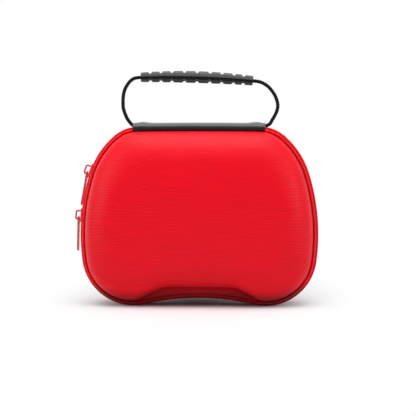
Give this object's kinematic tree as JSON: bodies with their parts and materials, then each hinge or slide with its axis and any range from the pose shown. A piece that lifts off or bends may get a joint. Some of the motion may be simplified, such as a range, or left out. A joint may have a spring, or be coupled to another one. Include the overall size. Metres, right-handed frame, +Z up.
{
  "type": "controller carrying case",
  "caption": "Closed hard-shell carrying case with a zip round its sides, a dark hinge strip on top and a cord handle with a notched grip.",
  "frame": {"origin": "on the level the feet stand on, midway between the two shells and midway across the whole object with its tabs", "axes": "+X to the right as seen from the front, +Z up, the opening front shell towards -Y"},
  "size_m": [0.1953, 0.075, 0.1873],
  "materials": {
    "shell_red": "matt",
    "zip_red": "matt",
    "teeth_red": "satin",
    "slider_red": "satin",
    "strip_grey": "satin",
    "cord_black": "matt",
    "grip_grey": "satin",
    "mesh_black": "matt"
  },
  "bodies": {
    "base": {"rear_shell": "shell_red", "rear_piping": "shell_red", "rear_tape": "zip_red", "rear_teeth": "teeth_red", "rear_binding": "zip_red", "left_end_stop": "teeth_red", "right_end_stop": "teeth_red", "hinge_strip": "strip_grey"},
    "lid": {"front_shell": "shell_red", "front_piping": "shell_red", "front_tape": "zip_red", "front_teeth": "teeth_red", "front_binding": "zip_red", "mesh_pocket": "mesh_black", "pocket_hem": "mesh_black"},
    "handle": {"handle_cord": "cord_black", "handle_grip": "grip_grey"},
    "upper_zip_slider": {"upper_slider": "slider_red"},
    "upper_zip_tab": {"upper_pull_tab": "slider_red"},
    "lower_zip_slider": {"lower_slider": "slider_red"},
    "lower_zip_tab": {"lower_pull_tab": "slider_red"}
  },
  "joints": [
    {"name": "lid_hinge", "type": "hinge", "parent": "base", "child": "lid", "pos_m": [0.00265, 0, 0.1461], "axis": [-1, 0, 0], "range_deg": [0, 110], "deforming": ["hinge_strip"]},
    {"name": "handle_fold", "type": "hinge", "parent": "base", "child": "handle", "pos_m": [0.00265, 0.003, 0.1435], "axis": [-1, 0, 0], "range_deg": [0, 90]},
    {"name": "upper_slider_run", "type": "hinge", "parent": "base", "child": "upper_zip_slider", "pos_m": [-0.0234, 0, 0.08648], "axis": [0, 1, 0], "range_deg": [0, 21]},
    {"name": "lower_slider_run", "type": "hinge", "parent": "base", "child": "lower_zip_slider", "pos_m": [0.06904, 0, 0.05709], "axis": [0, -1, 0], "range_deg": [0, 9]},
    {"name": "upper_tab_swing", "type": "hinge", "parent": "upper_zip_slider", "child": "upper_zip_tab", "pos_m": [-0.08776, 0, 0.10651], "axis": [0, 1, 0], "range_deg": [0, 135]},
    {"name": "lower_tab_swing", "type": "hinge", "parent": "lower_zip_slider", "child": "lower_zip_tab", "pos_m": [-0.09484, 0, 0.0702], "axis": [0, 1, 0], "range_deg": [0, 135]}
  ]
}
